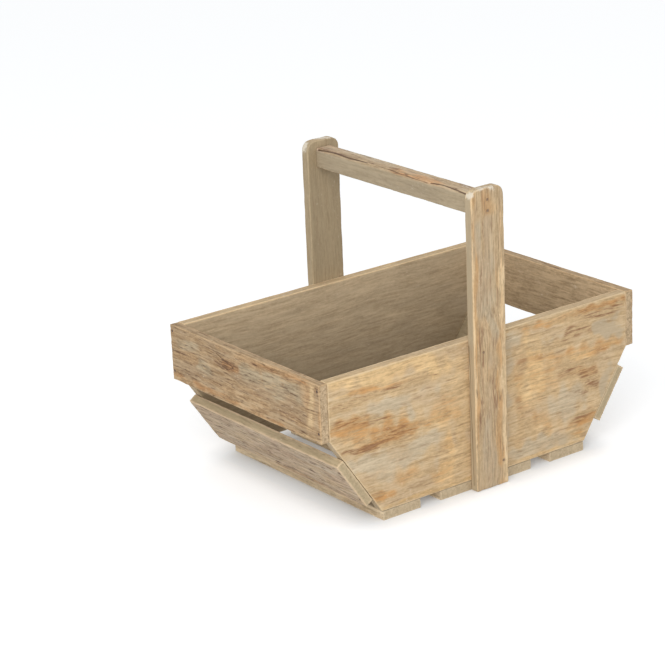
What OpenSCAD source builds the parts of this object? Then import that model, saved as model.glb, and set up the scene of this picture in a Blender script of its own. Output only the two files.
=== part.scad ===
// Garden trug: a low wooden carrying basket with slanted ends, an open slatted base
// and a fixed bridge handle, nailed together from sawn boards.
// Millimetres. The origin is on the ground under the middle of the base.
// +X runs along the trug to its right-hand end, +Y to its back and +Z up.

/* [Overall] */
// Length over the two upper end boards
trug_length = 400; // [380:1:440]
// Width over the outer faces of the two side boards
trug_width = 244; // [200:1:280]
// Height of the rim above the ground
rim_height = 155.5; // [150:0.5:175]
// Height of the handle uprights above the ground
handle_height = 306; // [270:1:340]

/* [Side boards] */
// Thickness of each side board
side_thickness = 11; // [10:0.5:14]
// Length of a side board along its bottom edge
side_bottom_length = 262; // [250:1:280]
// Height of the upright part of a side board's end, below the rim
side_end_height = 58.5; // [54:0.5:64]

/* [End boards] */
// Thickness of the boards and slats that close the ends
end_thickness = 10; // [8:0.5:12]
// Width of the slanted slat at each end, measured along the slope
lower_slat_width = 60; // [50:1:62]
// Slope left open above the slanted slat at the left-hand end
left_slat_drop = 26.5; // [12:0.5:30]
// Slope left open above the slanted slat at the right-hand end
right_slat_drop = 20; // [12:1:30]

/* [Base slats] */
// Width of one base slat, along the trug
base_slat_width = 46; // [38:1:54]
// Thickness of the base slats
base_slat_thickness = 10; // [8:0.5:13]
// How far the outer base slats stop short of the corners of the side boards
base_slat_inset = 1; // [0:0.5:4]

/* [Handle] */
// Width of a handle upright
upright_width = 41; // [36:1:46]
// Thickness of a handle upright
upright_thickness = 10.5; // [9:0.5:12]
// Radius of the two rounded top corners of an upright
upright_corner = 10; // [4:1:16]
// Width of the handle bar, along the trug
bar_width = 20; // [16:1:24]
// Height of the handle bar
bar_height = 21; // [18:1:26]
// Distance from the top of the uprights down to the top of the bar
bar_drop = 7; // [4:1:16]
// Radius of the bar's two rounded upper edges
bar_easing = 3; // [1:0.5:6]

/* [Nails] */
// Diameter of a nail's shank
nail_shank = 1.8; // [1.4:0.1:2.2]
// Diameter of a nail's head
nail_head = 2.8; // [2.6:0.1:3.4]
// Length of the nails in the end boards and base slats
long_nail = 30; // [25:1:32]
// Length of the nails in the handle uprights
short_nail = 20; // [16:1:20]

/* [Hidden] */
$fn = 48;

half_length = trug_length / 2;
half_width = trug_width / 2;
side_half_top = half_length - end_thickness;
side_half_bottom = side_bottom_length / 2;
corner_height = rim_height - side_end_height;
slope_run = side_half_top - side_half_bottom;
slope_rise = corner_height - base_slat_thickness;
slope_angle = atan2(slope_rise, slope_run);

base_slat_count = 4;
base_half_length = side_half_bottom - base_slat_inset;
slat_pitch = (2 * base_half_length - base_slat_width) / (base_slat_count - 1);

bar_top = handle_height - bar_drop;
bar_bottom = bar_top - bar_height;

// Nails stand in from the edges of the board that they hold
nail_end_inset = 3.5;
nail_top_inset = 6.5;
nail_bottom_inset = 10;
slat_nail_inset = 10;
base_nail_inset = 11;
upright_nail_high = [-9, rim_height - 12.5];
upright_nail_low = [14, base_slat_thickness + 15];
bar_nail_inset = 5;
head_height = 0.8;
head_sink = 0.4;
tip_length = 2.4;
tip_radius = 0.2;
nail_facets = 24;
cut_margin = 1;

function base_slat_centre(number) =
  -base_half_length + base_slat_width / 2 + (number - 1) * slat_pitch;

// Turns a right-hand end into the left-hand one where side is -1
module at_end(side) {
  mirror([side < 0 ? 1 : 0, 0, 0]) children();
}

// Turns the front of the trug into its back where side is 1
module at_long_side(side) {
  mirror([0, side > 0 ? 1 : 0, 0]) children();
}

// A nail driven from a surface at z = 0 into wood above it
module nail(length) {
  translate([0, 0, head_sink]) cylinder(h = head_height, d = nail_head, $fn = nail_facets);
  translate([0, 0, head_sink + head_height])
    cylinder(h = length - head_height - tip_length, d = nail_shank, $fn = nail_facets);
  translate([0, 0, head_sink + length - tip_length])
    cylinder(h = tip_length, r1 = nail_shank / 2, r2 = tip_radius, $fn = nail_facets);
}

// The hole that a driven nail leaves, with the shallow dent over its head
module nail_hole(length) {
  nail(length);
  translate([0, 0, -cut_margin])
    cylinder(h = cut_margin + head_sink + head_height, d = nail_head, $fn = nail_facets);
}

// Puts its children where an upper end board is nailed to the side boards
module at_upper_end_nails(side) {
  at_end(side)
    for (y = [-half_width + nail_end_inset, half_width - nail_end_inset])
      for (z = [corner_height + nail_bottom_inset, rim_height - nail_top_inset])
        translate([half_length, y, z]) rotate([0, -90, 0]) children();
}

// Puts its children on the slanted end of the side boards, with +Z into the wood
// and -X down the slope
module on_slope(side, drop) {
  at_end(side)
    translate([side_half_top, 0, corner_height])
      rotate([0, -slope_angle, 0])
        translate([-drop, 0, 0]) children();
}

// Puts its children where a slanted slat is nailed to the side boards
module at_lower_end_nails(side, drop) {
  on_slope(side, drop)
    for (y = [-half_width + nail_end_inset, half_width - nail_end_inset])
      for (x = [-slat_nail_inset, slat_nail_inset - lower_slat_width])
        translate([x, y, -end_thickness]) children();
}

// Puts its children where a base slat is nailed up into the side boards
module at_base_nails(number) {
  for (y = [-half_width + side_thickness / 2, half_width - side_thickness / 2])
    for (x = [base_nail_inset, base_slat_width - base_nail_inset])
      translate([base_slat_centre(number) - base_slat_width / 2 + x, y, 0]) children();
}

// Puts its children where an upright is nailed to its side board
module at_upright_nails(side) {
  at_long_side(side)
    for (place = [upright_nail_high, upright_nail_low])
      translate([place[0], -half_width - upright_thickness, place[1]])
        rotate([-90, 0, 0]) children();
}

// Puts its children where an upright is nailed to the end of the handle bar
module at_handle_nails(side) {
  at_long_side(side)
    for (z = [bar_bottom + bar_nail_inset, bar_top - bar_nail_inset])
      translate([0, -half_width - upright_thickness, z]) rotate([-90, 0, 0]) children();
}

// A rectangle standing on y = 0 whose two upper corners are rounded
module arched_rectangle(width, height, radius) {
  translate([-width / 2, 0]) square([width, height - radius]);
  translate([radius - width / 2, 0]) square([width - 2 * radius, height]);
  for (x = [radius - width / 2, width / 2 - radius])
    translate([x, height - radius]) circle(r = radius);
}

module side_outline() {
  polygon([
    [-side_half_bottom, base_slat_thickness], [side_half_bottom, base_slat_thickness],
    [side_half_top, corner_height], [side_half_top, rim_height],
    [-side_half_top, rim_height], [-side_half_top, corner_height]
  ]);
}

module side_board(side) {
  color("tan") difference() {
    at_long_side(side)
      translate([0, -half_width + side_thickness, 0])
        rotate([90, 0, 0]) linear_extrude(height = side_thickness) side_outline();
    for (end = [-1, 1]) at_upper_end_nails(end) nail_hole(long_nail);
    at_lower_end_nails(-1, left_slat_drop) nail_hole(long_nail);
    at_lower_end_nails(1, right_slat_drop) nail_hole(long_nail);
    for (number = [1 : base_slat_count]) at_base_nails(number) nail_hole(long_nail);
    at_upright_nails(side) nail_hole(short_nail);
  }
}

module upper_end_board(side) {
  color("burlywood") difference() {
    at_end(side)
      translate([side_half_top, -half_width, corner_height])
        cube([end_thickness, trug_width, side_end_height]);
    at_upper_end_nails(side) nail_hole(long_nail);
  }
}

module lower_end_board(side, drop) {
  color("rosybrown") difference() {
    on_slope(side, drop)
      translate([-lower_slat_width, -half_width, -end_thickness])
        cube([lower_slat_width, trug_width, end_thickness]);
    at_lower_end_nails(side, drop) nail_hole(long_nail);
  }
}

module base_slat(number) {
  color("darkkhaki") difference() {
    translate([base_slat_centre(number) - base_slat_width / 2, -half_width, 0])
      cube([base_slat_width, trug_width, base_slat_thickness]);
    at_base_nails(number) nail_hole(long_nail);
  }
}

module upright(side) {
  color("wheat") difference() {
    at_long_side(side)
      translate([0, -half_width, 0])
        rotate([90, 0, 0])
          linear_extrude(height = upright_thickness)
            arched_rectangle(upright_width, handle_height, upright_corner);
    at_upright_nails(side) nail_hole(short_nail);
    at_handle_nails(side) nail_hole(short_nail);
  }
}

module handle_bar() {
  color("peru") difference() {
    translate([0, half_width, bar_bottom])
      rotate([90, 0, 0])
        linear_extrude(height = trug_width)
          arched_rectangle(bar_width, bar_height, bar_easing);
    for (side = [-1, 1]) at_handle_nails(side) nail_hole(short_nail);
  }
}

module upper_end_nails(side) {
  color("dimgray") at_upper_end_nails(side) nail(long_nail);
}

module lower_end_nails(side, drop) {
  color("dimgray") at_lower_end_nails(side, drop) nail(long_nail);
}

module base_nails(number) {
  color("dimgray") at_base_nails(number) nail(long_nail);
}

module upright_nails(side) {
  color("dimgray") at_upright_nails(side) nail(short_nail);
}

module handle_nails(side) {
  color("dimgray") at_handle_nails(side) nail(short_nail);
}

side_board(-1);  // front_side_board
side_board(1);  // back_side_board
upper_end_board(-1);  // left_upper_end_board
lower_end_board(-1, left_slat_drop);  // left_lower_end_board
upper_end_board(1);  // right_upper_end_board
lower_end_board(1, right_slat_drop);  // right_lower_end_board
base_slat(1);  // base_slat_1
base_slat(2);  // base_slat_2
base_slat(3);  // base_slat_3
base_slat(4);  // base_slat_4
upright(-1);  // front_upright
upright(1);  // back_upright
handle_bar();
upper_end_nails(-1);  // left_upper_end_nails
lower_end_nails(-1, left_slat_drop);  // left_lower_end_nails
upper_end_nails(1);  // right_upper_end_nails
lower_end_nails(1, right_slat_drop);  // right_lower_end_nails
base_nails(1);  // base_slat_1_nails
base_nails(2);  // base_slat_2_nails
base_nails(3);  // base_slat_3_nails
base_nails(4);  // base_slat_4_nails
upright_nails(-1);  // front_upright_nails
upright_nails(1);  // back_upright_nails
handle_nails(-1);  // front_handle_nails
handle_nails(1);  // back_handle_nails
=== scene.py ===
import bpy
import math
import random
import numpy as np
from types import SimpleNamespace
from mathutils import Matrix, Vector


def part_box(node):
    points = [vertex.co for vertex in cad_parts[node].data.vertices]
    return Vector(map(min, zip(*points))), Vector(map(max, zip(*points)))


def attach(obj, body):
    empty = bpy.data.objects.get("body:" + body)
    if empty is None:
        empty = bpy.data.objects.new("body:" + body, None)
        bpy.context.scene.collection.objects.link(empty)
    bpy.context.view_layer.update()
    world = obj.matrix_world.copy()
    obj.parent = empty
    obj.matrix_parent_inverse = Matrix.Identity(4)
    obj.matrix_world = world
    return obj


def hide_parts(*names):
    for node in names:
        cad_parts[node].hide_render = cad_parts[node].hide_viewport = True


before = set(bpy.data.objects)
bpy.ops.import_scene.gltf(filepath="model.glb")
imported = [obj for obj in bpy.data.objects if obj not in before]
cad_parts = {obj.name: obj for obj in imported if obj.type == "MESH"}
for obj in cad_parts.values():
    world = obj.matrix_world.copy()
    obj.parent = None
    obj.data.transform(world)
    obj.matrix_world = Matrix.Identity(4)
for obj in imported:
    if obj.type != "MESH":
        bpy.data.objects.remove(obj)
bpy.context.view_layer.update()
mm = 0.001

# The camera stands where the photograph was taken from, on the left and in front
photoCamera = {
    "azimuth": -36.84, "elevation": 19.23, "roll": -2.5,
    "target": (-54.0, 47.9, 129.1), "distance": 2447.0,
    "lens": 131.5, "sensor": 36.0,
}

# Plain soft studio light on a pale floor
studio = {
    "skyLight": 0.70, "floorColour": (234, 236, 238), "floorGlow": 0.36, "floorSize": 30.0,
    # painted light: the floor glows outside a box of glowFrom mm around the trug, rising over glowOver mm,
    # which leaves a painted shadow near the trug
    "glowFrom": (128, 105), "glowOver": 50,
    "keyPlace": (-1550, -1500, 1500), "keySize": 1600, "keyPower": 30.0,
}


def selectOnly(thing):
    bpy.ops.object.select_all(action="DESELECT")
    thing.select_set(True)
    bpy.context.view_layer.objects.active = thing


def linear(rgb):
    # 0 to 255 as a screen shows it, to the values that Blender mixes
    parts = [c / 255 for c in rgb]
    parts = [c / 12.92 if c <= 0.04045 else ((c + 0.055) / 1.055) ** 2.4 for c in parts]
    return (*parts, 1.0)


def addCamera(look):
    azimuth = math.radians(look["azimuth"])
    tilt = math.radians(90 - look["elevation"])
    turn = Matrix.Rotation(azimuth, 3, "Z") @ Matrix.Rotation(tilt, 3, "X")
    turn = turn @ Matrix.Rotation(math.radians(look["roll"]), 3, "Z")
    back = turn @ Vector((0, 0, 1))
    eye = (Vector(look["target"]) + back * look["distance"]) * mm
    bpy.ops.object.camera_add(location=eye, rotation=turn.to_euler())
    camera = bpy.context.object
    camera.data.lens = look["lens"]
    camera.data.sensor_width = look["sensor"]
    camera.data.clip_end = 60
    bpy.context.scene.camera = camera


def addSoftLight(name, place, size, power):
    bpy.ops.object.light_add(type="AREA", location=Vector(place) * mm)
    lamp = bpy.context.object
    lamp.name = name
    lamp.data.size = size * mm
    lamp.data.energy = power
    lamp.rotation_euler = (-Vector(place)).to_track_quat("-Z", "Y").to_euler()


# Small helpers for building materials


def addNode(tree, kind, inputs=None, **settings):
    node = tree.nodes.new("ShaderNode" + kind)
    for key, value in settings.items():
        setattr(node, key, value)
    for key, value in (inputs or {}).items():
        feed(tree, node.inputs[key], value)
    return node


def feed(tree, socket, value):
    if isinstance(value, bpy.types.NodeSocket):
        tree.links.new(value, socket)
    else:
        socket.default_value = value


def calc(tree, operation, first, second=0.0, clamp=False):
    node = addNode(tree, "Math", {0: first, 1: second}, operation=operation, use_clamp=clamp)
    return node.outputs[0]


def soften(tree, value, low, high):
    # 0 below low and 1 above high, with a smooth step between
    node = addNode(tree, "MapRange", {"Value": value, "From Min": low, "From Max": high},
                   interpolation_type="SMOOTHSTEP")
    return node.outputs["Result"]


def blendColour(tree, amount, first, second, mode="MIX"):
    node = addNode(tree, "Mix", data_type="RGBA", blend_type=mode)
    feed(tree, node.inputs[0], amount)
    feed(tree, node.inputs[6], first)
    feed(tree, node.inputs[7], second)
    return node.outputs[2]


def waves(tree, place, width, stretch, detail, roughness):
    # noise about 0; width is how wide one streak is, in mm, and stretch how many times longer
    squeeze = addNode(tree, "Mapping", {"Vector": place, "Scale": (1 / stretch, 1, 1)})
    node = addNode(tree, "TexNoise", {"Vector": squeeze.outputs[0], "Scale": 1 / (width * mm),
                                      "Detail": detail, "Roughness": roughness})
    return calc(tree, "MULTIPLY", calc(tree, "SUBTRACT", node.outputs["Fac"], 0.5), 2.0)


def total(tree, start, *terms):
    # start plus each (value, weight)
    for value, weight in terms:
        node = addNode(tree, "Math", {0: value, 1: weight, 2: start}, operation="MULTIPLY_ADD")
        start = node.outputs[0]
    return start


def newMaterial(name):
    material = bpy.data.materials.new(name)
    material.use_nodes = True
    tree = material.node_tree
    return material, tree, tree.nodes["Principled BSDF"]


def seenDirectly(tree):
    # 1 for what the camera sees straight, in a mirror or through glass, and 0 for stray light
    rays = addNode(tree, "LightPath")
    seen = calc(tree, "MAXIMUM", rays.outputs["Is Camera Ray"], rays.outputs["Is Glossy Ray"])
    return calc(tree, "MAXIMUM", seen, rays.outputs["Is Transmission Ray"])


# The finishes: raw wood under a worn grey wash. Colours are as a screen shows them.
sideFinish = {
    "wood": (209, 180, 138), "pale": (223, 191, 142), "honey": (199, 152, 98), "brown": (128, 92, 64),
    "wash": (198, 181, 153), "washWarm": (198, 174, 141), "arris": (226, 202, 162),
    "dressed": (190, 171, 142), "washLevel": 0.45, "brownLevel": 0.2, "arrisWear": 0.7, "grain": 1.2,
    "dashes": 0.35, "longer": 1.0, "finer": 1.0, "planedGrain": 0.75, "wornWidth": 1.8,
}
upperEndFinish = {
    "wood": (188, 157, 119), "pale": (212, 184, 142), "honey": (180, 136, 91), "brown": (94, 68, 49),
    "wash": (172, 155, 128), "washWarm": (165, 141, 112), "arris": (208, 178, 138),
    "dressed": (194, 170, 137), "washLevel": 0.55, "brownLevel": 0.35, "arrisWear": 0.75, "grain": 2.2,
    "dashes": 0.75, "longer": 1.0, "finer": 0.85, "planedGrain": 0.8, "wornWidth": 1.8,
}
lowerEndFinish = {
    "wood": (204, 180, 148), "pale": (222, 202, 172), "honey": (188, 154, 118), "brown": (112, 88, 70),
    "wash": (186, 171, 151), "washWarm": (184, 160, 136), "arris": (224, 199, 162),
    "dressed": (190, 171, 137), "washLevel": 0.7, "brownLevel": 0.4, "arrisWear": 0.8, "grain": 2.1,
    "dashes": 1.0, "longer": 1.0, "finer": 0.85, "planedGrain": 0.45, "wornWidth": 3.0,
}
baseFinish = {
    "wood": (214, 192, 158), "pale": (232, 212, 180), "honey": (202, 172, 130), "brown": (132, 106, 80),
    "wash": (218, 200, 170), "washWarm": (216, 192, 158), "arris": (226, 206, 174),
    "dressed": (190, 172, 142), "washLevel": 0.70, "brownLevel": 0.15, "arrisWear": 0.5, "grain": 1.3,
    "dashes": 0.4, "longer": 1.0, "finer": 1.0, "planedGrain": 0.6, "wornWidth": 1.8,
}
uprightFinish = {
    "wood": (199, 174, 138), "pale": (226, 200, 160), "honey": (202, 163, 116), "brown": (128, 96, 71),
    "wash": (186, 169, 142), "washWarm": (187, 162, 131), "arris": (228, 200, 157),
    "dressed": (191, 173, 143), "washLevel": 0.55, "brownLevel": 0.3, "arrisWear": 0.9, "grain": 1.35,
    "dashes": 0.6, "longer": 2.0, "finer": 0.6, "planedGrain": 0.3, "wornWidth": 1.8,
}
# painted shade: the far upright takes a darker copy of the upright's finish, darker on its planed faces and
# arrises, with more grain showing on the planed faces
shadedFarUprightFinish = dict(uprightFinish, dressed=(177, 159, 129), arris=(190, 171, 138), planedGrain=0.6)
barFinish = {
    "wood": (200, 177, 145), "pale": (218, 198, 168), "honey": (200, 158, 116), "brown": (110, 84, 67),
    "wash": (190, 173, 147), "washWarm": (186, 158, 134), "arris": (214, 190, 154),
    "dressed": (179, 163, 136), "washLevel": 0.50, "brownLevel": 0.3, "arrisWear": 0.6, "grain": 1.6,
    "dashes": 0.8, "longer": 1.5, "finer": 0.8, "planedGrain": 0.5, "wornWidth": 1.8,
}
chalkTone = (226, 217, 200)
# the colour of cracks, also used as painted shade along the joint of each upright with its side board
crackAndSeamShadeTone = (84, 62, 46)
fibreTints = {"dark": (0.60, 0.56, 0.51, 1), "light": (1.36, 1.37, 1.38, 1)}
grainBends = {"perMetre": 9.0, "reach": 0.012}
grainTurn = {"x": (0, 0, 0), "y": (0, 0, -math.pi / 2), "z": (0, math.pi / 2, 0)}
patchNames = ("washed", "honeyed", "browned", "paled", "plain", "chalk", "crack", "arris", "dressed", "shade")


def darker(tone, share):
    return tuple(c * share for c in tone[:3]) + (1,)


def grainPlace(tree, grain, seed):
    # where each point lies along the grain, which bends slowly
    spot = addNode(tree, "TexCoord").outputs["Object"]
    turned = addNode(tree, "Mapping", {"Vector": spot, "Rotation": grainTurn[grain],
                                       "Location": (seed * 0.37, seed * 0.11, seed * 0.23)})
    bend = addNode(tree, "TexNoise", {"Vector": turned.outputs[0], "Scale": grainBends["perMetre"],
                                      "Detail": 1.0})
    shift = addNode(tree, "VectorMath", {0: bend.outputs["Color"], 1: (0.5, 0.5, 0.5)}, operation="SUBTRACT")
    shift = addNode(tree, "VectorMath", {0: shift.outputs[0], "Scale": grainBends["reach"]},
                    operation="SCALE")
    place = addNode(tree, "VectorMath", {0: turned.outputs[0], 1: shift.outputs[0]}, operation="ADD")
    return place.outputs[0]


def grainNoises(tree, place, longer, finer):
    return SimpleNamespace(
        mottle=waves(tree, place, 13.0, 3.5 * longer, 2.0, 0.5),
        streaks=waves(tree, place, 5.0 * finer, 11.0 * longer, 4.0, 0.7),
        fibres=waves(tree, place, 2.6 * finer, 12.0 * longer, 3.0, 0.7),
        specks=waves(tree, place, 2.4, 1.8, 3.0, 0.7),
        dashes=waves(tree, place, 2.2 * finer, 8.0 * longer, 2.0, 0.5))


def rawWood(tree, tone, patches, noise):
    paled = total(tree, patches["paled"], (noise.mottle, 0.5), (noise.streaks, 0.6), (noise.fibres, 0.3))
    colour = blendColour(tree, soften(tree, paled, 0.2, 1.0), tone["wood"], tone["pale"])
    honeyed = total(tree, patches["honeyed"], (noise.mottle, 0.7), (noise.streaks, 0.4))
    honeyed = soften(tree, honeyed, 0.05, 0.95)
    inFibres = total(tree, noise.fibres, (noise.streaks, 0.8), (patches["honeyed"], 0.1))
    inFibres = soften(tree, inFibres, -0.35, 0.3)
    honeyed = calc(tree, "MULTIPLY", honeyed, total(tree, 0.25, (inFibres, 0.75)))
    colour = blendColour(tree, honeyed, colour, tone["honey"])
    browned = total(tree, patches["browned"], (noise.mottle, 0.5), (noise.specks, 0.2))
    browned = soften(tree, browned, 0.0, 1.0)
    inStreaks = soften(tree, total(tree, noise.fibres, (noise.streaks, 0.7)), -0.12, 0.28)
    browned = calc(tree, "MULTIPLY", browned, inStreaks)
    colour = blendColour(tree, calc(tree, "MULTIPLY", browned, 0.9), colour, tone["brown"])
    return colour, browned


def addWash(tree, colour, tone, patches, noise, browned):
    # what is left of the grey wash, and the plain spots where it is whole
    washed = total(tree, patches["washed"], (noise.mottle, 0.8), (noise.streaks, 0.6),
                   (noise.fibres, 0.4), (noise.specks, 0.4), (browned, -0.35))
    washed = calc(tree, "MULTIPLY", soften(tree, washed, 0.1, 0.95), 0.93)
    warm = total(tree, noise.specks, (noise.mottle, 2.5), (patches["washed"], -0.9))
    warm = soften(tree, warm, -1.4, 0.6)
    colour = blendColour(tree, washed, colour, blendColour(tree, warm, tone["wash"], tone["washWarm"]))
    plain = total(tree, patches["plain"], (noise.streaks, 0.5), (noise.fibres, 0.3))
    plain = soften(tree, plain, 0.15, 0.85)
    colour = blendColour(tree, calc(tree, "MULTIPLY", plain, 0.9), colour, tone["dressed"])
    return colour, washed, plain


def addPlanedFaces(tree, colour, tone, patches, noise):
    # planed faces and sawn ends, where the wash is whole
    even = soften(tree, total(tree, noise.mottle, (noise.streaks, 1.2)), -0.7, 0.7)
    planed = blendColour(tree, even, tone["dressed"], darker(tone["dressed"], 0.85))
    return blendColour(tree, calc(tree, "MULTIPLY", patches["dressed"], 0.94), colour, planed)


def addFibres(tree, colour, finish, tone, patches, noise, washed, plain):
    # fibres, light and dark, over everything, and short dashes where the wood is rough
    fine = total(tree, calc(tree, "MULTIPLY", noise.streaks, 0.6),
                 (noise.fibres, 0.9), (noise.specks, 0.45))
    fine = calc(tree, "MULTIPLY", fine, finish["grain"])
    tint = blendColour(tree, soften(tree, fine, -0.9, 0.9), fibreTints["dark"], fibreTints["light"])
    weight = total(tree, 1.0, (patches["dressed"], finish["planedGrain"] - 1), (washed, -0.3), (plain, -0.45))
    colour = blendColour(tree, weight, colour, tint, "MULTIPLY")
    rawness = total(tree, 1.0, (patches["dressed"], -0.7), (plain, -0.8))
    rawness = calc(tree, "MULTIPLY", rawness, finish["dashes"], True)
    thin = calc(tree, "MULTIPLY", soften(tree, noise.dashes, 0.14, 0.42), rawness)
    colour = blendColour(tree, thin, colour, tone["brown"])
    bright = calc(tree, "MULTIPLY", soften(tree, noise.dashes, -0.16, -0.42), rawness)
    colour = blendColour(tree, calc(tree, "MULTIPLY", bright, 0.7), colour, tone["arris"])
    return colour, thin


def addWear(tree, colour, finish, tone, patches, noise):
    # worn arrises, bleached spots, cracks (on the uprights also painted shade along the joint with the side
    # board), and the painted shade and light inside the trug
    edge = total(tree, patches["arris"], (noise.streaks, -1.2 * mm), (noise.specks, -0.8 * mm))
    worn = calc(tree, "SUBTRACT", 1.0, soften(tree, edge, 0.2 * mm, finish["wornWidth"] * mm))
    colour = blendColour(tree, calc(tree, "MULTIPLY", worn, finish["arrisWear"]), colour, tone["arris"])
    chalk = total(tree, patches["chalk"], (noise.specks, 0.8), (noise.mottle, 0.6))
    chalk = soften(tree, chalk, 0.3, 0.9)
    colour = blendColour(tree, calc(tree, "MULTIPLY", chalk, 0.8), colour, linear(chalkTone))
    # cracks, and on the uprights also painted shade along the joint with the side board
    split = soften(tree, patches["crack"], 0.3, 0.8)
    colour = blendColour(tree, calc(tree, "MULTIPLY", split, 0.85), colour, linear(crackAndSeamShadeTone))
    # painted shade and light: the colour is scaled by the shade attribute, darker deep inside the trug and
    # lighter by the rim
    shaded = addNode(tree, "VectorMath", {0: colour, "Scale": patches["shade"]}, operation="SCALE")
    return shaded.outputs[0]


def weatheredWood(name, finish, grain, seed):
    material, tree, shader = newMaterial(name)
    tone = {key: linear(value) for key, value in finish.items() if isinstance(value, tuple)}
    noise = grainNoises(tree, grainPlace(tree, grain, seed), finish["longer"], finish["finer"])
    patches = {key: addNode(tree, "Attribute", attribute_name=key).outputs["Fac"] for key in patchNames}
    colour, browned = rawWood(tree, tone, patches, noise)
    colour, washed, plain = addWash(tree, colour, tone, patches, noise, browned)
    colour = addPlanedFaces(tree, colour, tone, patches, noise)
    colour, thin = addFibres(tree, colour, finish, tone, patches, noise, washed, plain)
    colour = addWear(tree, colour, finish, tone, patches, noise)
    tree.links.new(colour, shader.inputs["Base Color"])

    rough = total(tree, 0.68, (washed, 0.14), (noise.specks, 0.06))
    tree.links.new(rough, shader.inputs["Roughness"])
    shader.inputs["Specular IOR Level"].default_value = 0.25
    relief = total(tree, noise.fibres, (noise.streaks, 1.0), (thin, -1.0))
    bump = addNode(tree, "Bump", {"Height": relief, "Strength": 0.5, "Distance": 0.3 * mm})
    tree.links.new(bump.outputs[0], shader.inputs["Normal"])
    return material


def tarnishedSteel(name, tone, rustTone):
    material, tree, shader = newMaterial(name)
    spot = addNode(tree, "TexCoord").outputs["Object"]
    blotch = addNode(tree, "TexNoise", {"Vector": spot, "Scale": 900.0, "Detail": 3.0}).outputs["Fac"]
    rust = soften(tree, blotch, 0.42, 0.58)
    colour = blendColour(tree, rust, linear(tone), linear(rustTone))
    tree.links.new(colour, shader.inputs["Base Color"])
    tree.links.new(calc(tree, "SUBTRACT", 1.0, rust), shader.inputs["Metallic"])
    tree.links.new(calc(tree, "ADD", 0.45, calc(tree, "MULTIPLY", rust, 0.3)), shader.inputs["Roughness"])
    bump = addNode(tree, "Bump", {"Height": blotch, "Strength": 0.4, "Distance": 0.1 * mm})
    tree.links.new(bump.outputs[0], shader.inputs["Normal"])
    return material


def paleFloorMaterial(look):
    material, tree, shader = newMaterial("paleFloor")
    shader.inputs["Base Color"].default_value = linear(look["floorColour"])
    shader.inputs["Roughness"].default_value = 0.9
    shader.inputs["Specular IOR Level"].default_value = 0.0
    # painted light and shade: the floor glows a little away from the trug, so that it fades to white there,
    # and not at all over the trug's footprint, which stays darker as a painted shadow
    spot = addNode(tree, "TexCoord").outputs["Object"]
    reach = addNode(tree, "VectorMath", {0: spot}, operation="ABSOLUTE")
    inner = (look["glowFrom"][0] * mm, look["glowFrom"][1] * mm, 0)
    reach = addNode(tree, "VectorMath", {0: reach.outputs[0], 1: inner}, operation="SUBTRACT")
    reach = addNode(tree, "VectorMath", {0: reach.outputs[0], 1: (0, 0, 0)}, operation="MAXIMUM")
    reach = addNode(tree, "VectorMath", {0: reach.outputs[0]}, operation="LENGTH").outputs["Value"]
    glow = calc(tree, "MULTIPLY", soften(tree, reach, 0.0, look["glowOver"] * mm), look["floorGlow"])
    shader.inputs["Emission Color"].default_value = (1, 1, 1, 1)
    glow = calc(tree, "MULTIPLY", seenDirectly(tree), glow)
    tree.links.new(glow, shader.inputs["Emission Strength"])
    return material


def makeStudio(look):
    world = bpy.data.worlds.new("studioSky")
    bpy.context.scene.world = world
    world.use_nodes = True
    tree = world.node_tree
    sky = tree.nodes["Background"]
    sky.inputs["Color"].default_value = (1, 1, 1, 1)
    dim = look["skyLight"]
    strength = calc(tree, "ADD", dim, calc(tree, "MULTIPLY", seenDirectly(tree), 1 - dim))
    tree.links.new(strength, sky.inputs["Strength"])
    bpy.ops.mesh.primitive_plane_add(size=look["floorSize"], location=(0, 0, 0))
    floor = bpy.context.object
    floor.name = "floor"
    floor.data.materials.append(paleFloorMaterial(look))
    addSoftLight("keyLight", look["keyPlace"], look["keySize"], look["keyPower"])


addCamera(photoCamera)
makeStudio(studio)
print("camera, floor and lights are in place")


# Shaping one board: a box is cut from the CAD's size, its arrises are eased, and the
# faces are divided finely enough to be roughened


def sawnBlock(name, centre, size, tilt=0.0):
    bpy.ops.object.select_all(action="DESELECT")
    bpy.ops.mesh.primitive_cube_add(size=1, location=centre, rotation=(0, tilt, 0))
    board = bpy.context.object
    board.name = name
    board.data.name = name
    board.scale = size
    bpy.ops.object.transform_apply(location=True, rotation=True, scale=True)
    return board


def pickEdges(board, wanted):
    # selects the edges for which wanted(first end, second end) is true
    mesh = board.data
    bpy.ops.object.mode_set(mode="EDIT")
    bpy.ops.mesh.select_mode(type="EDGE")
    bpy.ops.mesh.select_all(action="DESELECT")
    bpy.ops.object.mode_set(mode="OBJECT")
    for edge in mesh.edges:
        first, second = (mesh.vertices[i].co for i in edge.vertices)
        edge.select = wanted(first, second)
    bpy.ops.object.mode_set(mode="EDIT")


def pickFaces(board, wanted):
    mesh = board.data
    bpy.ops.object.mode_set(mode="EDIT")
    bpy.ops.mesh.select_mode(type="FACE")
    bpy.ops.mesh.select_all(action="DESELECT")
    bpy.ops.object.mode_set(mode="OBJECT")
    for face in mesh.polygons:
        face.select = wanted(face)
    bpy.ops.object.mode_set(mode="EDIT")


def divide(board, along, shortest, longest, step):
    # cuts the edges that run along one direction, and are between two lengths, every step
    pieces = max(2, round(longest / step))
    rounds = 2 if pieces > 60 else 1
    cuts = round(pieces ** (1 / rounds)) - 1
    for turn in range(rounds):
        limit = shortest if turn == 0 else shortest / (cuts + 1)
        top = longest if turn == 0 else longest / (cuts + 1)
        pickEdges(board, lambda a, b: lineUp(a, b, along) and limit < (b - a).length < top)
        bpy.ops.mesh.subdivide(number_cuts=cuts)
        bpy.ops.object.mode_set(mode="OBJECT")


alongX, alongY, alongZ = Vector((1, 0, 0)), Vector((0, 1, 0)), Vector((0, 0, 1))


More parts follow.
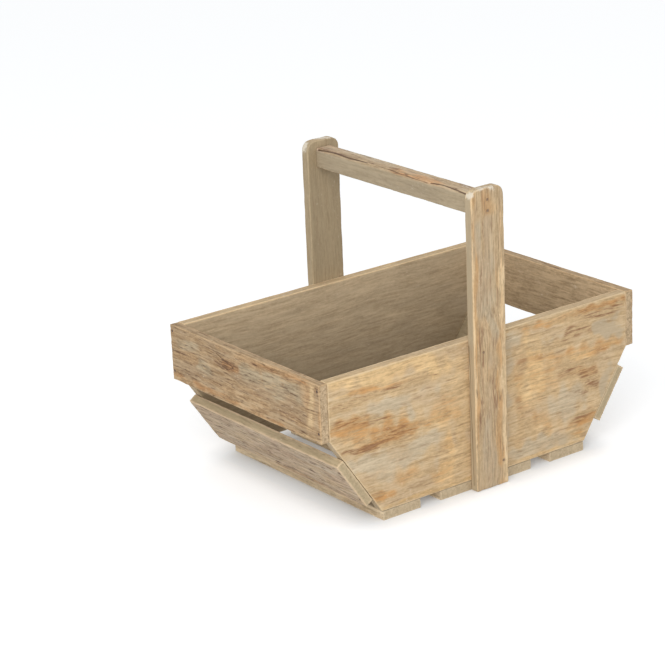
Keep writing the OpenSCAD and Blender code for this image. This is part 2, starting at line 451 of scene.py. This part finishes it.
def divideBoard(board, step, *runs):
    # each run is (direction, shortest, longest), in mm
    for along, shortest, longest in runs:
        divide(board, along, shortest * mm, longest * mm, step * mm)


def lineUp(first, second, along):
    step = second - first
    return abs(step.dot(along)) > 0.5 * step.length


def applyModifiers(board):
    selectOnly(board)
    for modifier in list(board.modifiers):
        bpy.ops.object.modifier_apply(modifier=modifier.name)


def easeArrises(board, width, segments=3):
    bevel = board.modifiers.new("arrises", "BEVEL")
    bevel.width = width
    bevel.segments = segments
    bevel.limit_method = "ANGLE"
    bevel.angle_limit = math.radians(25)
    bevel.use_clamp_overlap = False
    bevel.loop_slide = False
    applyModifiers(board)
    faceOutwards(board)


def faceOutwards(board):
    selectOnly(board)
    bpy.ops.object.mode_set(mode="EDIT")
    bpy.ops.mesh.select_all(action="SELECT")
    bpy.ops.mesh.normals_make_consistent(inside=False)
    bpy.ops.object.mode_set(mode="OBJECT")


def facePlanes(board):
    # the flat faces that the board starts from, as (normal, distance from the origin)
    return [(face.normal.copy(), face.normal.dot(face.center)) for face in board.data.polygons]


def arrisDistance(points, planes):
    # how far each point lies from the nearest arris
    normals = np.array([list(normal) for normal, reach in planes])
    reaches = np.array([reach for normal, reach in planes])
    depth = reaches[None, :] - points @ normals.T
    nearest = depth.argmin(axis=1)
    alike = (normals @ normals.T)[nearest] > 0.9
    depth[alike] = np.inf
    return np.clip(depth.min(axis=1), 0, None)


def boardPoints(board):
    points = np.empty(len(board.data.vertices) * 3)
    board.data.vertices.foreach_get("co", points)
    return points.reshape(-1, 3)


def roughen(board, size, stretch, depth, seed, group="", contrast=1.6, level=1.0):
    # pushes the surface in by up to depth, in streaks that follow the grain
    texture = bpy.data.textures.new("roughness", "CLOUDS")
    texture.noise_scale = size
    texture.noise_depth = 3
    texture.contrast = contrast
    texture.intensity = level
    texture.use_clamp = True
    bpy.ops.object.empty_add(location=(seed * 0.31, seed * 0.17, seed * 0.07))
    guide = bpy.context.object
    guide.scale = stretch
    push = board.modifiers.new("rough", "DISPLACE")
    push.texture = texture
    push.texture_coords = "OBJECT"
    push.texture_coords_object = guide
    push.strength = depth
    push.mid_level = 1.0
    push.vertex_group = group
    bpy.context.view_layer.update()
    applyModifiers(board)
    bpy.data.objects.remove(guide)


def markArrises(board, planes, reach):
    # picks the points near an arris, for the chips
    distance = arrisDistance(boardPoints(board), planes)
    group = board.vertex_groups.new(name="wornEdges")
    for index in np.nonzero(distance < reach)[0]:
        group.add([int(index)], float(1 - distance[index] / reach), "REPLACE")


grainStretch = {"x": (14, 1, 1), "y": (1, 14, 1), "z": (1, 1, 14)}
shortStretch = {"x": (3.5, 1, 1), "y": (1, 3.5, 1), "z": (1, 1, 3.5)}


def weather(board, planes, grain, seed, wear):
    markArrises(board, planes, wear["reach"] * mm)
    roughen(board, 45 * mm, (1, 1, 1), wear["waviness"] * mm, seed)
    roughen(board, wear["grainWidth"] * mm, grainStretch[grain], wear["grainDepth"] * mm, seed + 1)
    roughen(board, wear["chipSize"] * mm, shortStretch[grain], wear["chipDepth"] * mm,
            seed + 2, "wornEdges", 3.2, 1.5)


nailDents = {"radius": 1.5, "depth": 0.75}


def dentForNails(board, places, into):
    # a shallow round dent over each nail head
    radius, depth = nailDents["radius"] * mm, nailDents["depth"] * mm
    cutters = []
    for place in places:
        bpy.ops.object.select_all(action="DESELECT")
        turn = into.to_track_quat("Z", "Y").to_euler()
        bpy.ops.mesh.primitive_cylinder_add(vertices=20, radius=radius, depth=2 * depth,
                                            location=place, rotation=turn)
        cutters.append(bpy.context.object)
    for cutter in cutters:
        cutter.select_set(True)
    bpy.context.view_layer.objects.active = cutters[0]
    bpy.ops.object.join()
    cutter = bpy.context.object
    dent = board.modifiers.new("nailDents", "BOOLEAN")
    dent.operation = "DIFFERENCE"
    dent.solver = "EXACT"
    dent.object = cutter
    bpy.context.view_layer.update()
    applyModifiers(board)
    bpy.data.objects.remove(cutter)


def layAttribute(board, name, values):
    attribute = board.data.attributes.new(name, "FLOAT", "POINT")
    attribute.data.foreach_set("value", np.asarray(values, np.float32))


def behind(normal, reach, start=0.8, soft=1.2):
    # 0 on a face, and 1 on everything that lies further behind it
    def share(points):
        depth = reach - points @ np.array(normal, float)
        return np.clip((depth - start * mm) / (soft * mm), 0, 1)
    return share


# the layer that each tone of patch goes to
layerOf = {"wash": "washed", "honey": "honeyed", "brown": "browned", "pale": "paled",
           "plain": "plain", "chalk": "chalk"}
# how far patches bend and reach, how much wash they strip, and how far and how much the
# faces that look up have lost their planed look
patchWork = {"bend": 0.35, "reach": 1.35, "strip": 0.8, "rimReach": 1.3, "rimWear": 0.75}


def paint(board, planes, finish, patches, dressed, inward=None, cracks=()):
    # soft patches of each tone, as (tone, centre, radii, strength) in mm; noise breaks
    # their borders up in the material
    points = boardPoints(board)
    layers = {layer: np.zeros(len(points)) for layer in layerOf.values()}
    layers["washed"] += finish["washLevel"]
    layers["browned"] += finish["brownLevel"]
    bends = wander(points)
    for tone, centre, radii, strength in patches:
        away = (points / mm - np.array(centre)) / np.array(radii) + patchWork["bend"] * bends
        fade = np.clip(patchWork["reach"] - np.sqrt((away ** 2).sum(axis=1)), 0, 1)
        fade = fade * fade * (3 - 2 * fade)
        layers[layerOf[tone]] += strength * fade
        if tone in ("honey", "pale", "brown"):
            layers["washed"] -= patchWork["strip"] * strength * fade
    for layer, values in layers.items():
        layAttribute(board, layer, values)
    layAttribute(board, "arris", arrisDistance(points, planes))
    rim = np.clip((points[:, 2] - points[:, 2].max()) / mm + patchWork["rimReach"], 0, 1)
    layAttribute(board, "dressed", dressed(points) * (1 - patchWork["rimWear"] * rim))
    # painted shade and light inside the trug
    layAttribute(board, "shade", paintedInsideShade(points, inward))
    layAttribute(board, "crack", crackDepth(points, cracks))


# how many random waves bend the patches, how long they are in mm, and how strong
bendWaves = {"count": 12, "shortest": 12, "longest": 55, "amount": 1.4}


def wander(points):
    # slow random bends, so that no patch keeps a plain outline
    dice = np.random.default_rng(7)
    bends = np.zeros_like(points)
    for turn in range(bendWaves["count"]):
        wave = dice.normal(size=3)
        length = dice.uniform(bendWaves["shortest"], bendWaves["longest"]) * mm
        wave *= 2 * math.pi / (length * np.linalg.norm(wave))
        bends += dice.normal(size=3) * np.sin(points @ wave + dice.uniform(0, 6.3))[:, None]
    return bends / bendWaves["count"] ** 0.5 * bendWaves["amount"]


def paintedInsideShade(points, inward):
    # painted light and shade: the inner faces are painted lighter by the rim and darker towards the base, as
    # the light falls inside the trug
    if inward is None:
        return np.ones(len(points))
    height = np.clip((points[:, 2] - baseHigh.z) / (rimHigh.z - baseHigh.z), 0, 1)
    tone = paintedInsideShadeLevels["base"] + (paintedInsideShadeLevels["rim"] - paintedInsideShadeLevels["base"]) * height ** 1.5
    return 1 + (tone - 1) * inward(points)


def crackDepth(points, cracks):
    # 1 along the middle of each crack, falling to 0; a crack is (route, width) in mm
    depth = np.zeros(len(points))
    for route, width in cracks:
        corners = np.array(route, float) * mm
        for start, end in zip(corners[:-1], corners[1:]):
            run = end - start
            share = np.clip((points - start) @ run / (run @ run), 0, 1)
            gap = np.linalg.norm(points - start - share[:, None] * run, axis=1)
            depth = np.maximum(depth, np.clip(1.3 - gap / (width * mm), 0, 1))
    return depth


def openCracks(board, cracks, depth):
    # draws the wood in along each crack
    group = board.vertex_groups.new(name="cracks")
    shares = crackDepth(boardPoints(board), cracks)
    for index in np.nonzero(shares > 0)[0]:
        group.add([int(index)], float(min(1, shares[index])), "REPLACE")
    draw = board.modifiers.new("cracks", "DISPLACE")
    draw.strength = -depth
    draw.mid_level = 0.0
    draw.vertex_group = "cracks"
    applyModifiers(board)


def finishBoard(board, node, material):
    board.data.materials.clear()
    board.data.materials.append(material)
    selectOnly(board)
    bpy.ops.object.shade_smooth_by_angle(angle=math.radians(50))
    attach(board, "root")
    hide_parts(node)
    print(node, "has", len(board.data.polygons), "faces")


def facing(normal, reach, soft=1.0):
    # 1 on a face, and 0 on everything that lies further behind it
    def share(points):
        depth = reach - points @ np.array(normal, float)
        return np.clip(1.3 - depth / (soft * mm), 0, 1)
    return share


# Sizes that several boards share, most of them taken from the CAD parts
rimLow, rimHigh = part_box("left_upper_end_board")
baseLow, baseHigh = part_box("base_slat_1")
sideLow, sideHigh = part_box("front_side_board")
cornerHeight = rimLow.z
sideHalfTop = sideHigh.x
sideHalfBottom = -baseLow.x + 1 * mm
slope = math.atan2(cornerHeight - baseHigh.z, sideHalfTop - sideHalfBottom)
halfWidth = -sideLow.y
headRadius = 1.4 * mm
# painted light and shade inside the trug: how light the inner faces are painted by the rim and by the base
paintedInsideShadeLevels = {"rim": 1.2, "base": 0.62}

# The two long side boards
sideBoards = {
    "arris": 0.35, "step": 1.7,
    "wear": {"reach": 2.5, "waviness": 0.1, "grainWidth": 2.6, "grainDepth": 0.2,
             "chipSize": 5.0, "chipDepth": 0.25},
}
# patches of the front board, (tone, x, z, x radius, z radius, strength); the back one repeats them
sidePatches = [
    ("pale", -115, 148, 78, 10, 1.0), ("pale", -65, 142, 32, 12, 0.6), ("honey", -150, 138, 30, 4, 0.8),
    ("honey", -115, 134, 25, 3, 0.5), ("brown", -160, 130, 30, 2.6, 1.1), ("brown", -100, 132, 34, 2.2, 1.0),
    ("pale", -172, 138, 17, 1.4, 0.8), ("brown", -176, 126, 16, 3.4, 1.2), ("wash", -114, 113, 46, 14, 0.9),
    ("honey", -164, 103, 28, 11, 1.1), ("brown", -168, 108, 26, 6, 0.8), ("honey", -114, 88, 44, 10, 1.1),
    ("brown", -114, 86, 28, 6, 0.9), ("brown", -133, 102, 18, 2.2, 1.0), ("honey", -55, 91, 25, 15, 0.45),
    ("pale", -55, 86, 20, 10, 0.9), ("brown", -158, 82, 28, 3.2, 1.1), ("brown", -125, 77, 26, 2.6, 1.1),
    ("wash", -143, 62, 46, 15, 1.0), ("wash", -78, 60, 30, 15, 0.8), ("honey", -50, 42, 14, 28, 0.35),
    ("pale", -48, 44, 12, 26, 0.8), ("honey", -98, 38, 24, 9, 0.5), ("wash", -129, 42, 18, 7, 0.5),
    ("honey", -133, 26, 16, 5, 0.9), ("brown", -137, 28, 10, 3, 0.8), ("pale", -80, 13, 62, 2.5, 1.0),
    ("plain", -27, 80, 8, 85, 0.3), ("pale", -27, 80, 9, 85, 0.5),
    ("honey", 105, 149, 58, 5, 0.8), ("honey", 160, 151, 30, 4, 0.8),
    ("brown", 146, 147, 42, 7, 1.0), ("plain", 163, 124, 31, 16, 1.2), ("brown", 169, 138, 16, 1.8, 1.1),
    ("brown", 122, 128, 28, 9, 0.7), ("brown", 46, 85, 12, 50, 0.4), ("wash", 100, 130, 20, 5, 0.4),
    ("wash", 36, 140, 15, 15, 0.7),
    ("honey", 72, 92, 30, 44, 0.4), ("pale", 66, 104, 26, 34, 0.9), ("honey", 44, 85, 8, 50, 0.25),
    ("plain", 29, 90, 7, 60, 0.6), ("honey", 138, 106, 50, 8, 0.6), ("pale", 142, 104, 40, 5, 0.9),
    ("brown", 118, 90, 38, 15, 0.8), ("honey", 124, 88, 34, 11, 0.5), ("brown", 142, 70, 18, 14, 0.9),
    ("plain", 162, 58, 13, 24, 1.0),
    ("wash", 112, 60, 26, 12, 0.9), ("brown", 120, 64, 22, 8, 0.6), ("honey", 134, 34, 22, 9, 0.9),
    ("brown", 128, 40, 16, 7, 0.6), ("pale", 128, 17, 9, 4, 1.2), ("honey", 128, 21, 10, 4, 0.8),
    ("honey", 67, 44, 20, 14, 0.45), ("brown", 60, 47, 10, 6, 0.4), ("wash", 78, 22, 52, 10, 0.7),
    ("pale", 100, 12, 50, 2, 0.9), ("plain", 110, 14, 40, 8, 0.5),
]


def makeSideBoard(node, side, seed, look):
    low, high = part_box(node)
    board = sawnBlock(node + "_wood", (low + high) / 2, high - low)
    bpy.ops.object.mode_set(mode="EDIT")
    bpy.ops.mesh.select_all(action="SELECT")
    bpy.ops.mesh.bisect(plane_co=(0, 0, cornerHeight), plane_no=(0, 0, 1))
    bpy.ops.object.mode_set(mode="OBJECT")
    pickEdges(board, lambda a, b: max(a.z, b.z) < low.z + mm)
    narrow = sideHalfBottom / sideHalfTop
    bpy.ops.transform.resize(value=(narrow, 1, 1), center_override=(0, 0, low.z))
    bpy.ops.object.mode_set(mode="OBJECT")
    board.data.update()
    planes = facePlanes(board)
    easeArrises(board, look["arris"] * mm)
    divideBoard(board, look["step"], (alongX, 200, 400), (alongZ, 45, 65), (alongZ, 75, 115),
                (alongY, 5, 12))
    weather(board, planes, "x", seed, look["wear"])
    face = side * halfWidth / mm
    patches = [(tone, (-side * x, face, z), (rx, 4, rz), strength)
               for tone, x, z, rx, rz, strength in sidePatches]
    # the inner face, which takes the painted shade inside the trug
    inward = facing((0, -side, 0), -(halfWidth - (high.y - low.y)))
    paint(board, planes, sideFinish, patches, behind((0, side, 0), halfWidth), inward)
    finishBoard(board, node, weatheredWood(node + "Wood", sideFinish, "x", seed))


makeSideBoard("front_side_board", -1, 1.0, sideBoards)
makeSideBoard("back_side_board", 1, 5.0, sideBoards)
print("side boards are done")

# The boards and slats across the two ends
endBoards = {
    "arris": 0.7, "step": 1.15, "nailInset": 3.5, "slatNailInset": 10,
    "wear": {"reach": 2.5, "waviness": 0.3, "grainWidth": 2.4, "grainDepth": 0.3,
             "chipSize": 5.0, "chipDepth": 0.45},
}
# patches of the left upper end board, (tone, y, z, y radius, z radius, strength); the right
# one repeats them
upperEndPatches = [
    ("brown", 95, 127, 26, 5, 0.8), ("brown", -10, 154, 14, 2, 1.0), ("brown", 40, 153, 12, 2, 0.8),
    ("honey", -20, 150, 26, 4, 0.6), ("honey", -70, 152, 45, 4, 0.9), ("brown", 36, 138, 13, 5, 0.8),
    ("honey", 22, 135, 12, 6, 1.1), ("wash", 69, 124, 16, 8, 0.9), ("wash", -5, 136, 24, 8, 0.9),
    ("wash", -62, 136, 30, 9, 0.9), ("wash", 90, 140, 20, 6, 0.7), ("brown", -65, 141, 4, 2.2, 1.0),
    ("brown", -17, 120, 26, 3, 0.5), ("brown", 30, 137, 16, 7, 1.2), ("brown", -40, 150, 60, 1.5, 0.8),
    ("brown", 55, 113, 28, 3, 0.5), ("brown", -78, 113, 34, 5, 0.6), ("honey", 60, 102, 60, 4, 0.8),
    ("honey", -30, 99, 40, 3, 0.7), ("pale", -100, 99, 22, 4, 0.8), ("pale", -110, 128, 8, 26, 1.2),
    ("honey", -100, 142, 10, 10, 0.5), ("brown", 114, 107, 8, 4, 0.6), ("honey", 85, 140, 20, 4, 0.4),
]
# short splits around a knot of the left upper end board, (route as (y, z), width)
knotSplits = [
    ([(50, 148), (37, 143), (15, 137)], 0.75), ([(14, 137), (26, 132)], 0.8), ([(34, 134), (24, 133)], 0.9),
]
# patches of a lower end slat, (tone, y, down the slope, y radius, slope radius, strength)
lowerEndPatches = [
    ("brown", -40, 22, 70, 2, 0.5), ("brown", 20, 40, 70, 2, 0.5), ("brown", 70, 26, 40, 2, 0.4),
    ("honey", -20, 55, 90, 3, 0.8), ("honey", -85, 38, 26, 5, 0.4), ("pale", 40, 30, 30, 4, 0.4),
    ("wash", -60, 14, 60, 6, 0.3), ("wash", 80, 48, 30, 5, 0.3),
]


def rectangleOfNails(node, inset):
    low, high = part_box(node)
    return [Vector((low.x, y, z)) for y in (low.y + inset, high.y - inset)
            for z in (low.z + inset, high.z - inset)]


def makeUpperEnd(node, side, seed, look):
    low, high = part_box(node)
    board = sawnBlock(node + "_wood", (low + high) / 2, high - low)
    planes = facePlanes(board)
    easeArrises(board, look["arris"] * mm)
    divideBoard(board, look["step"], (alongY, 200, 250), (alongZ, 40, 60), (alongX, 4, 12))
    weather(board, planes, "y", seed, look["wear"])
    outer = low.x if side < 0 else high.x
    places = rectangleOfNails(node.replace("board", "nails"), headRadius)
    places = [Vector((outer, place.y, place.z)) for place in places]
    dentForNails(board, places, Vector((-side, 0, 0)))
    patches = [(tone, (outer / mm, -side * y, z), (4, ry, rz), strength)
               for tone, y, z, ry, rz, strength in upperEndPatches]
    patches += [("brown", tuple(place / mm), (3, 3.5, 2.5), 1.0) for place in places]
    inner = high.x if side < 0 else low.x
    # the inner face, which takes the painted shade inside the trug
    inward = facing((-side, 0, 0), -side * inner)
    # honey shows through on the sawn end towards the front
    patches.append(("honey", ((low.x + high.x) / 2 / mm, low.y / mm, 128), (6, 3, 30), 0.6))
    splits = [([(outer / mm, -side * y, z) for y, z in route], width) for route, width in knotSplits]
    paint(board, planes, upperEndFinish, patches, behind((side, 0, 0), side * outer), inward, splits)
    finishBoard(board, node, weatheredWood(node + "Wood", upperEndFinish, "y", seed))


def makeLowerEnd(node, side, seed, look):
    low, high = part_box(node)
    thick = rimHigh.x - rimLow.x
    wide = (high.z - low.z - thick * math.cos(slope)) / math.sin(slope)
    centre = (low + high) / 2
    board = sawnBlock(node + "_wood", centre, (thick, high.y - low.y, wide), side * (math.pi / 2 - slope))
    planes = facePlanes(board)
    easeArrises(board, look["arris"] * mm)
    down = Vector((-side * math.cos(slope), 0, -math.sin(slope)))
    out = Vector((side * math.sin(slope), 0, -math.cos(slope)))
    divideBoard(board, look["step"], (alongY, 200, 250), (down, 40, 60), (out, 4, 12))
    weather(board, planes, "y", seed, look["wear"])
    top = centre - down * (wide / 2) + out * (thick / 2)
    places = [top + down * run + Vector((0, y, 0))
              for y in (-halfWidth + look["nailInset"] * mm, halfWidth - look["nailInset"] * mm)
              for run in (look["slatNailInset"] * mm, wide - look["slatNailInset"] * mm)]
    dentForNails(board, places, -out)
    patches = []
    for tone, y, run, ry, rs, strength in lowerEndPatches:
        spot = (top + down * (run * mm)) / mm
        patches.append((tone, (spot.x, -side * y, spot.z), (rs, ry, rs), strength))
    patches += [("brown", tuple(place / mm), (3, 3.5, 3), 1.0) for place in places]
    dressed = behind(out, top.dot(out))
    # the inner face, which takes the painted shade inside the trug
    inward = facing(-out, thick - top.dot(out))
    paint(board, planes, lowerEndFinish, patches, dressed, inward)
    finishBoard(board, node, weatheredWood(node + "Wood", lowerEndFinish, "y", seed))


makeUpperEnd("left_upper_end_board", -1, 11.0, endBoards)
makeUpperEnd("right_upper_end_board", 1, 13.0, endBoards)
makeLowerEnd("left_lower_end_board", -1, 17.0, endBoards)
makeLowerEnd("right_lower_end_board", 1, 19.0, endBoards)
print("end boards are done")

# The four slats of the base, rougher than the rest
baseSlats = {
    "arris": 0.3, "step": 1.5, "tonePatches": 8, "chalkSpots": 10, "patchReach": 110,
    "wear": {"reach": 2.5, "waviness": 0.05, "grainWidth": 2.0, "grainDepth": 0.2,
             "chipSize": 4.0, "chipDepth": 0.2},
}


def makeBaseSlat(node, seed, look):
    low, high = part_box(node)
    board = sawnBlock(node + "_wood", (low + high) / 2, high - low)
    planes = facePlanes(board)
    easeArrises(board, look["arris"] * mm)
    divideBoard(board, look["step"], (alongY, 200, 250), (alongX, 30, 50), (alongZ, 4, 12))
    weather(board, planes, "y", seed, look["wear"])
    nailLow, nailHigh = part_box(node + "_nails")
    places = [Vector((x, y, low.z)) for x in (nailLow.x + headRadius, nailHigh.x - headRadius)
              for y in (nailLow.y + headRadius, nailHigh.y - headRadius)]
    dentForNails(board, places, Vector((0, 0, 1)))
    reach = look["patchReach"]
    dice = random.Random(int(seed))
    patches = [(dice.choice(("honey", "wash", "brown")),
                (dice.uniform(low.x, high.x) / mm, dice.uniform(-reach, reach), dice.choice((0, 10))),
                (dice.uniform(3, 9), dice.uniform(20, 50), 5), 0.5) for spot in range(look["tonePatches"])]
    top = facing((0, 0, 1), high.z)
    front, back = facing((0, -1, 0), halfWidth), facing((0, 1, 0), halfWidth)
    patches += [("chalk", (dice.uniform(low.x, high.x) / mm, dice.uniform(-reach, reach), 4), (5, 6, 5), 0.5)
                for spot in range(look["chalkSpots"])]

    def dressed(points):
        return np.maximum(top(points), 0.75 * (front(points) + back(points)))

    # the top of the slat takes the painted shade inside the trug
    paint(board, planes, baseFinish, patches, dressed, top)
    finishBoard(board, node, weatheredWood(node + "Wood", baseFinish, "y", seed))


for number in range(1, 5):
    makeBaseSlat(f"base_slat_{number}", 23.0 + number, baseSlats)
print("base slats are done")

# The two uprights and the bar of the handle
uprights = {
    "arris": 1.5, "corner": 10.0, "cornerSteps": 6, "step": 1.3, "splitWidth": 1.1, "splitDepth": 0.4,
    "wear": {"reach": 3.5, "waviness": 0.3, "grainWidth": 1.8, "grainDepth": 0.25,
             "chipSize": 6.0, "chipDepth": 0.6},
}
# patches of an upright's outer face, (tone, x, z, x radius, z radius, strength)
uprightPatches = [
    ("pale", 17, 110, 5.5, 150, 1.5), ("honey", 11, 90, 4, 120, 0.9), ("honey", 16, 220, 3, 80, 0.5),
    ("pale", -19.5, 150, 1.6, 170, 1.0), ("wash", -4, 230, 12, 60, 0.5), ("wash", -5, 35, 8, 35, 0.9),
    ("brown", -13, 85, 4, 80, 0.7), ("brown", 4, 105, 4, 60, 0.6), ("brown", -7, 270, 2, 40, 0.7),
    ("brown", -9, 135, 2.5, 6, 0.9), ("brown", 10, 212, 2, 40, 0.6), ("brown", 0, 300, 1.6, 4, 1.0),
    ("honey", -6, 140, 9, 50, 0.4), ("wash", 4, 165, 8, 30, 0.5), ("honey", -17, 150, 3, 170, 0.9),
    ("honey", 8, 60, 3, 70, 0.9), ("honey", -4, 290, 16, 14, 0.7),
]
# bleached spots on the top of an upright, (x, z, x radius, strength)
uprightChalk = [(0, 307, 24, 1.0), (-20, 299, 5, 0.9)]
# a faint split down both edges of an upright, beside its side board, drawn in a little and coloured dark as
# painted shade in the joint with the board, as (y from the middle, z)
uprightSplitAndSeamShade = [(123.4, 150), (124.6, 122), (124.0, 95), (125.6, 62), (125.9, 34), (126.5, 6)]


def makeUpright(node, side, seed, look):
    low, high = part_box(node)
    corner = look["corner"] * mm
    shaft = Vector((high.x, high.y, high.z - corner))
    board = sawnBlock(node + "_wood", (low + shaft) / 2, shaft - low)
    # the rounded top is drawn up in steps, each a little narrower
    half = (high.x - low.x) / 2
    pickFaces(board, lambda face: face.normal.z > 0.9)
    reach, rise = half, 0.0
    for number in range(1, look["cornerSteps"] + 1):
        angle = math.pi / 2 * number / look["cornerSteps"]
        newReach = half - corner * (1 - math.cos(angle))
        newRise = corner * math.sin(angle)
        bpy.ops.mesh.extrude_region_move(TRANSFORM_OT_translate={"value": (0, 0, newRise - rise)})
        bpy.ops.transform.resize(value=(newReach / reach, 1, 1), center_override=(0, 0, shaft.z + newRise))
        reach, rise = newReach, newRise
    bpy.ops.object.mode_set(mode="OBJECT")
    faceOutwards(board)
    planes = facePlanes(board)
    easeArrises(board, look["arris"] * mm)
    divideBoard(board, look["step"], (alongZ, 250, 310), (alongX, 12, 45), (alongY, 4, 12))
    weather(board, planes, "z", seed, look["wear"])
    outer = low.y if side < 0 else high.y
    nailLow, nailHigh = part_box(node + "_nails")
    endLow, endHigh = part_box(node.replace("upright", "handle_nails"))
    places = [Vector((nailLow.x + headRadius, outer, nailHigh.z - headRadius)),
              Vector((nailHigh.x - headRadius, outer, nailLow.z + headRadius)),
              Vector((0, outer, endLow.z + headRadius)), Vector((0, outer, endHigh.z - headRadius))]
    dentForNails(board, places, Vector((0, -side, 0)))
    patches = [(tone, (x, outer / mm, z), (rx, 4, rz), strength)
               for tone, x, z, rx, rz, strength in uprightPatches]
    patches += [("brown", tuple(place / mm), (2, 3, 3.5), 1.0) for place in places]
    patches += [("chalk", (x, side * 130, z), (rx, 8, 6), strength) for x, z, rx, strength in uprightChalk]
    # the far upright takes the copy of its finish with painted shade
    finish = uprightFinish if side < 0 else shadedFarUprightFinish
    # the splits are shallow grooves, and their dark colour is also painted shade along the joint with the
    # side board
    splits = [([(turn * half / mm, side * y, z) for y, z in uprightSplitAndSeamShade], look["splitWidth"])
              for turn in (-1, 1)]
    openCracks(board, splits, look["splitDepth"] * mm)
    paint(board, planes, finish, patches, behind((0, side, 0), side * outer), None, splits)
    finishBoard(board, node, weatheredWood(node + "Wood", finish, "z", seed))


handleBar = {
    "arris": 1.0, "topEdge": 3.0, "step": 1.1, "crackDepth": 0.7,
    "wear": {"reach": 3.0, "waviness": 0.3, "grainWidth": 1.8, "grainDepth": 0.25,
             "chipSize": 5.0, "chipDepth": 0.6},
}
# patches of the bar, (tone, (x, y, z), (radii), strength)
barPatches = [
    ("honey", (-4, -20, 299), (8, 50, 5), 1.0), ("honey", (-6, -60, 299), (6, 30, 5), 0.8),
    ("brown", (-5, 70, 299), (5, 40, 4), 0.9), ("brown", (4, -85, 299), (7, 30, 4), 1.3),
    ("brown", (-8, 95, 297), (3, 34, 3), 1.2), ("chalk", (4, -98, 299), (3, 26, 3), 0.7),
    ("chalk", (5, 60, 299), (3, 60, 3), 0.5), ("brown", (-10, -58, 290), (3, 20, 2), 0.9),
    ("brown", (-3, 10, 299), (4, 22, 3), 0.8), ("wash", (3, 60, 299), (5, 60, 4), 0.6),
    ("wash", (0, -112, 299), (10, 12, 5), 0.8), ("pale", (-9, -30, 298), (2, 60, 3), 0.8),
    ("wash", (0, 112, 299), (10, 12, 5), 0.8),
]
# long cracks in the top of the bar, (route as (x, y, z), width)
barCracks = [
    ([(-9.0, 118, 297), (-7.5, 95, 298.5), (-8.5, 70, 298), (-7.5, 40, 298.5)], 1.3),
    ([(-6.0, 60, 299), (-7.5, 20, 298.5), (-9.0, -20, 297.5), (-9.5, -55, 296.5)], 0.8),
    ([(-9.0, -60, 297.5), (-7.5, -78, 298.5), (-8.5, -98, 298), (-9.5, -119, 296)], 1.1),
]


def makeHandleBar(node, seed, look):
    low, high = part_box(node)
    board = sawnBlock(node + "_wood", (low + high) / 2, high - low)
    planes = facePlanes(board)
    pickEdges(board, lambda a, b: min(a.z, b.z) > high.z - mm and abs(a.y - b.y) > 0.1)
    bpy.ops.mesh.bevel(offset=look["topEdge"] * mm, segments=4, affect="EDGES")
    bpy.ops.object.mode_set(mode="OBJECT")
    board.data.update()
    easeArrises(board, look["arris"] * mm)
    divideBoard(board, look["step"], (alongY, 200, 250), (alongX, 10, 21), (alongZ, 10, 21))
    weather(board, planes, "y", seed, look["wear"])
    openCracks(board, barCracks, look["crackDepth"] * mm)
    dressed = behind((0, 0, 1), high.z, look["topEdge"] - 1.2, 2.0)
    paint(board, planes, barFinish, barPatches, dressed, None, barCracks)
    finishBoard(board, node, weatheredWood(node + "Wood", barFinish, "y", seed))


makeUpright("front_upright", -1, 31.0, uprights)
makeUpright("back_upright", 1, 37.0, uprights)
makeHandleBar("handle_bar", 41.0, handleBar)
print("handle is done")

# The nails keep their CAD shapes
darkSteel = tarnishedSteel("nailSteel", (104, 94, 86), (92, 64, 46))
washedSteel = tarnishedSteel("washedNailSteel", (150, 134, 114), (134, 104, 76))
for name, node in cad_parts.items():
    if name.endswith("_nails"):
        node.data.materials.clear()
        node.data.materials.append(washedSteel if "upright" in name or "handle" in name else darkSteel)
print("nails are done")

bpy.context.scene.view_settings.view_transform = "Standard"
